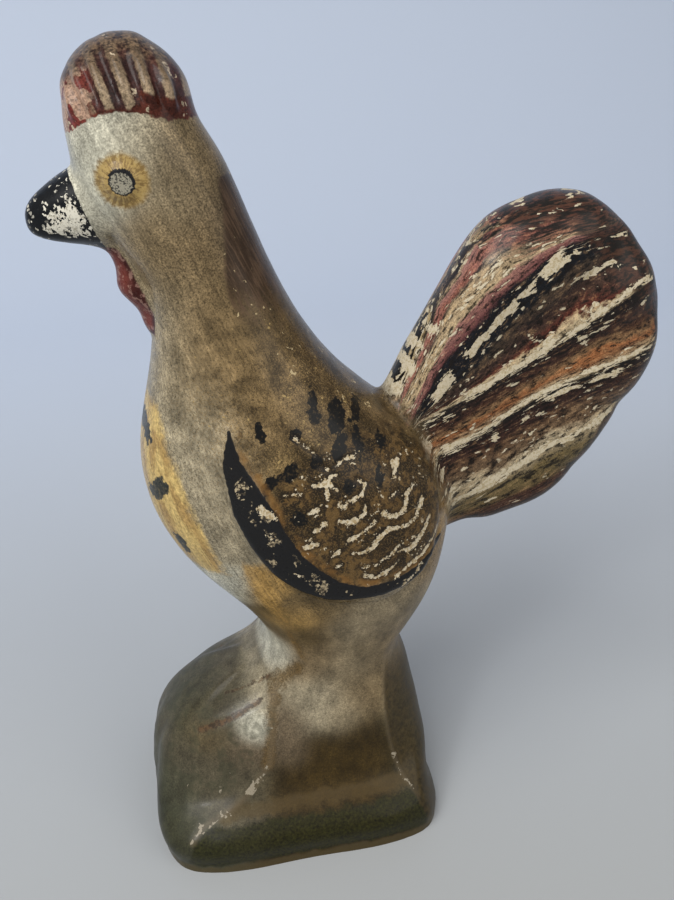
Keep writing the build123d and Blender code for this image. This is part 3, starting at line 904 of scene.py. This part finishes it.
long_v = t.add(t.times(v, 0.34), t.times(ragged, 0.5))
long_scraps = t.flakes(t.vector(long_u, long_v, t.times(py, 300)))
small_u = t.add(t.times(u, 11), t.times(ragged, 0.7))
small_v = t.add(t.times(v, 0.95), ragged)
small_scraps = t.flakes(t.vector(small_u, small_v, t.times(py, 700)))
scraps = t.add(t.times(long_scraps, 0.5), t.times(small_scraps, 0.5))
wear = t.add(t.ramp(u, WEAR, -1, 14), t.centred(big, 0.5), t.times(t.smooth(v, 24, 8), 0.1))
run = t.add(t.field("worn"), t.centred(drag, 1.6), t.centred(big, 1.4))
wear = t.add(wear, t.times(rim, -0.1), t.times(t.smooth(run, -0.8, 0.8), 0.9), 0.03)
chips = t.lost(wear, scraps)
tail = t.mask("tail", -1.6, 2.6, t.times(ragged, 2.2), t.centred(big, 3))
chips = t.times(chips, tail)
base = t.mix(tail, base, stripes)
base = t.mix(chips, base, t.two_tone(grain, 0.32, 0.55, (0.4, 0.32, 0.19), CREAM))

# comb
comb = t.mask("comb", -0.1, 0.2, t.centred(lumps, 1.2), t.centred(grain, 0.8))
red = t.two_tone(big, 0.38, 0.62, (0.026, 0.011, 0.01), (0.06, 0.021, 0.018))
rib_height = t.mask("comb", 3, 7.5, t.times(ragged, 1.5))
tan = t.mix(rib_height, (0.29, 0.215, 0.14), (0.13, 0.09, 0.056))
ridge = t.mask("rib", -0.25, 0.45, t.times(crumbs, 0.45))
crest = t.mix(ridge, red, tan)
band_rise = t.add(t.smooth(t.add(px, t.times(ragged, 0.0006)), -0.0225, -0.0205), t.times(ragged, 0.2))
low_band = t.mask("comb", 0.9, 0.3, t.times(band_rise, -2.6))
band_red = t.two_tone(big, 0.4, 0.6, (0.045, 0.011, 0.007), (0.073, 0.018, 0.011))
crest = t.mix(low_band, crest, band_red)
pink = t.times(t.smooth(px, -0.027, -0.0295), t.mask("comb", 8.5, 5.5))
pink_left = t.smooth(t.add(big, t.centred(lumps, 0.2)), 0.52, 0.54)
crest = t.mix(pink, crest, t.mix(pink_left, (0.35, 0.225, 0.16), (0.13, 0.026, 0.02)))
top = t.mask("comb", 7, 10, t.times(ragged, 1.2))
top_paint = t.two_tone(mid, 0.42, 0.58, (0.03, 0.018, 0.012), (0.13, 0.085, 0.05))
crest = t.mix(t.times(top, 0.8), crest, top_paint)
crest = t.mix(t.lost(t.times(t.smooth(big, 0.45, 0.7), 0.3), cells), crest, (0.42, 0.34, 0.24))
base = t.mix(comb, base, t.shaded(t.shaded(crest, grain, 0.55), fine, 0.45))

# beak, wattle and eye
beak = t.mask("beak", -0.08, 0.08, t.centred(lumps, 0.5))
chip_wear = t.add(t.mask("beak_flake", -2.2, 1.8), t.centred(big, 0.6))
chip = t.times(t.lost(chip_wear, t.add(cells, 0.06)), t.rest(t.lost(0.27, bits)))
chip = t.largest(chip, t.lost(0.09, t.flakes(moved, 2100)))
gesso = t.two_tone(grain, 0.34, 0.5, (0.36, 0.33, 0.26), (0.66, 0.63, 0.54))
base = t.mix(beak, base, t.mix(chip, BLACK, gesso))
wattle = t.mask("wattle", -0.1, 0.3, t.times(ragged, 0.3))
lobe = t.mask("wattle", 0.3, 1.5, t.times(ragged, 0.4))
flesh = t.mix(lobe, (0.04, 0.009, 0.008), (0.14, 0.034, 0.026))
# the pale pink patches laid over the wattle's red are a painted highlight
base = t.mix(wattle, base, t.mix(t.times(t.smooth(mid, 0.54, 0.62), 0.6), flesh, (0.34, 0.2, 0.16)))
ex, ez = t.field("eye_x"), t.field("eye_z")
er = t.add(t.math("SQRT", t.add(t.times(ex, ex), t.times(ez, ez))), t.field("eye_far"))
angle = t.math("ARCTAN2", ez, ex)
round_x, round_y = t.math("COSINE", angle), t.math("SINE", angle)
hairs = t.noise(t.vector(t.times(round_x, 7), t.times(round_y, 7), t.times(er, 0.5)), 1, 4, 0.65)
iris = t.smooth(t.add(er, t.centred(hairs, 1.8), t.times(crumbs, 0.4)), 4.8, 3.7)
gold_hairs = t.smooth(t.add(hairs, t.centred(grain, 0.6)), 0.4, 0.6)
gold = t.mix(gold_hairs, (0.2, 0.125, 0.042), (0.4, 0.275, 0.095))
base = t.mix(t.times(iris, 0.94), base, gold)
jag = t.add(er, t.centred(hairs, 1), t.centred(lumps, 0.5))
base = t.mix(t.smooth(jag, 2.2, 2.05), base, (0.012, 0.012, 0.014))
centre = t.add(jag, t.times(t.add(round_y, t.times(round_x, 0.6)), 0.22), t.centred(grain, 0.5))
grey_spots = t.smooth(t.add(fine, t.centred(grain, 0.5)), 0.52, 0.6)
grey = t.mix(grey_spots, (0.29, 0.27, 0.21), (0.05, 0.048, 0.042))
base = t.mix(t.smooth(centre, 1.75, 1.6), base, grey)

# foot
level = t.add(height, t.centred(big, 3), t.times(ragged, 0.5))
front = t.mask("front", -0.4, 0.4, t.times(ragged, 0.6))
sides = t.rest(front)
band = t.times(t.smooth(level, 11, 9.8), t.smooth(level, 1.6, 2.6))
band_paint = t.shaded((0.016, 0.016, 0.003), grain, 0.8)
base = t.mix(t.times(band, 0.9, t.add(t.times(sides, 0.7), 0.3)), base, band_paint)
line = t.times(t.smooth(t.math("ABSOLUTE", t.add(level, -12.2)), 1.5, 0.5), sides)
base = t.mix(t.times(line, 0.5), base, (0.085, 0.056, 0.02))
rear = t.mask("rear", -0.2, 0.5, t.times(ragged, 0.5))
rear_paint = t.shaded((0.042, 0.029, 0.011), mid, 0.5)
base = t.mix(t.times(rear, t.smooth(height, 46, 34), 0.85), base, rear_paint)
base = t.mix(t.times(t.smooth(level, 2.2, 1.2), 0.7), base, (0.07, 0.052, 0.022))
moss = t.times(front, t.smooth(t.add(big, t.centred(mid, 0.6)), 0.5, 0.62), t.smooth(height, 40, 30))
base = t.mix(t.times(moss, 0.5), base, (0.032, 0.034, 0.02))
toe = t.mask("toe", 1, 0.4, t.centred(lumps, 1.2), t.centred(grain, 0.9))
toe_paint = t.two_tone(mid, 0.42, 0.6, (0.036, 0.022, 0.013), (0.105, 0.058, 0.028))
base = t.mix(t.times(toe, 0.85), base, toe_paint)
edge_line = t.mask("arris", 1.2, 0.1, t.times(ragged, 0.4))
base = t.mix(t.times(edge_line, 0.45), base, (0.135, 0.102, 0.062))
arris_low = t.smooth(height, 26, 18)
arris_wear = t.times(t.mask("arris", 1.5, 0), arris_low, t.smooth(big, 0.35, 0.5))
arris = t.lost(t.times(arris_wear, 0.75), cells)
# glints: small pale flecks on the front of the mound are painted highlights; the worn arris beside them
# shows bare plaster
painted_glints = t.lost(t.times(front, t.smooth(big, 0.5, 0.65), t.smooth(height, 38, 30), 0.09), cells)
base = t.mix(t.largest(arris, painted_glints), base, (0.27, 0.235, 0.175))

# handling dirt, gloss and the edges of the paint
base = t.mix(t.times(t.smooth(fine, 0.6, 0.68), t.rest(face), 0.35), base, (0.022, 0.016, 0.01))
bared = t.largest(t.largest(chips, lines), t.largest(t.times(beak, chip), rub))
gloss = t.add(t.centred(mid, 0.24), 0.3, t.times(bared, 0.4), t.times(t.rest(upper), 0.1))
t.give("Base Color", base)
t.give("Roughness", gloss)
t.give("Specular IOR Level", 0.15)
t.give("Coat Weight", 0.1)
t.give("Coat Roughness", 0.16)
t.bump(t.add(t.times(bristles, upper, 0.25), t.times(grain, 0.3), t.times(bared, -0.8)), 0.5, 0.00018)

bare = bpy.data.materials.new("bare_plaster")
t = Tree(bare)
cloud = t.noise(t.place, 180, 4, 0.6)
pores = t.noise(t.place, 1600, 3, 0.6)
chalky = t.two_tone(cloud, 0.35, 0.65, (0.46, 0.39, 0.29), (0.62, 0.56, 0.45))
chalky = t.mix(t.times(t.smooth(pores, 0.62, 0.72), 0.6), chalky, (0.22, 0.17, 0.11))
t.give("Base Color", chalky)
t.give("Roughness", 0.9)
t.bump(pores, 0.5, 0.0002)

# pieces
for obj, material in ((skin, paint), (hollow, bare)):
    obj.data.materials.clear()
    obj.data.materials.append(material)


def box(name, low, high):
    bm = bmesh.new()
    bmesh.ops.create_cube(bm, size=1.0)
    for v in bm.verts:
        for axis in range(3):
            v.co[axis] = (high[axis] if v.co[axis] > 0 else low[axis]) * MM
    mesh = mesh_of(name, bm)
    mesh.materials.append(bare)
    return new_object(name, mesh)


def cut(obj, tool, operation, name):
    mod = obj.modifiers.new("cut", "BOOLEAN")
    mod.operation = operation
    mod.solver = "MANIFOLD"
    mod.material_mode = "TRANSFER"
    mod.object = tool
    mesh = applied(obj)
    obj.modifiers.remove(mod)
    mesh.name = name
    return new_object(name, mesh)


casting = cut(skin, hollow, "DIFFERENCE", "casting")
slabs = {
    "left_shell": (-SLAB_REACH, -SEAM),
    "right_shell": (SEAM, SLAB_REACH),
    "seam_slip": (-SEAM, SEAM),
}
pieces = {}
for node, (near, far) in slabs.items():
    slab = box("slab", (-SLAB_REACH, near, 0), (SLAB_REACH, far, SLAB_TOP))
    pieces[node] = cut(casting, slab, "INTERSECT", node + "_cast")
    bpy.data.objects.remove(slab)
for obj in (skin, hollow, casting):
    bpy.data.objects.remove(obj)

for node, piece in pieces.items():
    mesh = piece.data
    mesh.shade_smooth()
    bm = bmesh.new()
    bm.from_mesh(mesh)
    for edge in bm.edges:
        if len({face.material_index for face in edge.link_faces}) > 1:
            edge.smooth = False
    for face in bm.faces:
        if abs(face.normal.y) > 0.999 and face.material_index:
            face.smooth = False
    bm.to_mesh(mesh)
    bm.free()
    for name, value in paint_fields(points_of(mesh)).items():
        if value.ndim == 2:
            colour = np.column_stack([value, np.ones(len(value))]).astype(np.float32)
            mesh.attributes.new(name, "FLOAT_COLOR", "POINT").data.foreach_set("color", colour.ravel())
        else:
            mesh.attributes.new(name, "FLOAT", "POINT").data.foreach_set("value", value.astype(np.float32))
    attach(piece, "root")
    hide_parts(node)

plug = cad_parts["base_plug"]
plug.data.materials.clear()
plug.data.materials.append(bare)

# floor, light and camera, in metres and degrees
FLOOR_FRONT = -1.2
FLOOR_BACK = 0.35
FLOOR_SIDE = 1.6
BEND = 0.35
WALL_TOP = 1.4
bend_angles = np.linspace(0.12, math.pi / 2, 14)
bend = [(FLOOR_BACK + BEND * math.sin(a), BEND - BEND * math.cos(a)) for a in bend_angles]
bm = bmesh.new()
rows = []
for depth, height in [(FLOOR_FRONT, 0.0), (FLOOR_BACK, 0.0)] + bend + [(FLOOR_BACK + BEND, WALL_TOP)]:
    rows.append([bm.verts.new((side, depth, height - FLOOR_GAP)) for side in (-FLOOR_SIDE, FLOOR_SIDE)])
for low, high in zip(rows, rows[1:]):
    bm.faces.new((low[0], low[1], high[1], high[0]))
floor_mesh = mesh_of("floor", bm)
floor_mesh.shade_smooth()
floor = new_object("floor", floor_mesh)
floor_paint = bpy.data.materials.new("floor")
t = Tree(floor_paint)
# painted light: the backdrop is greyer near the front and lighter and bluer towards the back
painted_light_away = t.smooth(t.parts(t.place)[1], -0.15, 0.4)
t.give("Base Color", t.mix(painted_light_away, (0.36, 0.37, 0.37), (0.53, 0.6, 0.73)))
t.give("Roughness", 0.9)
floor_mesh.materials.append(floor_paint)
floor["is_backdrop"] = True


def lamp(name, place, target, size, power, colour):
    light = bpy.data.lights.new(name, "AREA")
    light.shape = "RECTANGLE"
    light.size, light.size_y = size
    light.energy = power
    light.color = colour
    obj = new_object(name, light)
    obj.location = place
    obj.rotation_euler = (Vector(target) - Vector(place)).to_track_quat("-Z", "Y").to_euler()
    obj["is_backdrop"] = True


lamp("window", (-0.55, -0.55, 1.0), (0, 0, 0.08), (0.9, 0.9), 12.2, (1.0, 0.985, 0.95))
lamp("fill", (0.7, -0.8, 0.7), (0, 0, 0.08), (0.9, 0.9), 3.8, (1.0, 0.97, 0.92))
lamp("spark", (-0.5, -0.5, 0.55), (0, 0, 0.1), (0.12, 0.12), 1.0, (1.0, 1.0, 1.0))

world = bpy.data.worlds.new("world")
bpy.context.scene.world = world
world.use_nodes = True
sky = world.node_tree.nodes["Background"].inputs
sky["Color"].default_value = (1.0, 0.98, 0.95, 1)
sky["Strength"].default_value = 0.39

CAMERA_PLACE = (-0.0219, -0.1563, 0.1683)
CAMERA_TILT = 63.0
CAMERA_TURN = -12.3
camera_data = bpy.data.cameras.new("camera")
camera_data.lens = 34.8
camera_data.sensor_width = 36.0
camera_data.clip_start = 0.01
camera = new_object("camera", camera_data)
camera.location = CAMERA_PLACE
camera.rotation_euler = (math.radians(CAMERA_TILT), 0.0, math.radians(CAMERA_TURN))
bpy.context.scene.camera = camera
bpy.context.scene.view_settings.view_transform = "Standard"

low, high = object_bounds()
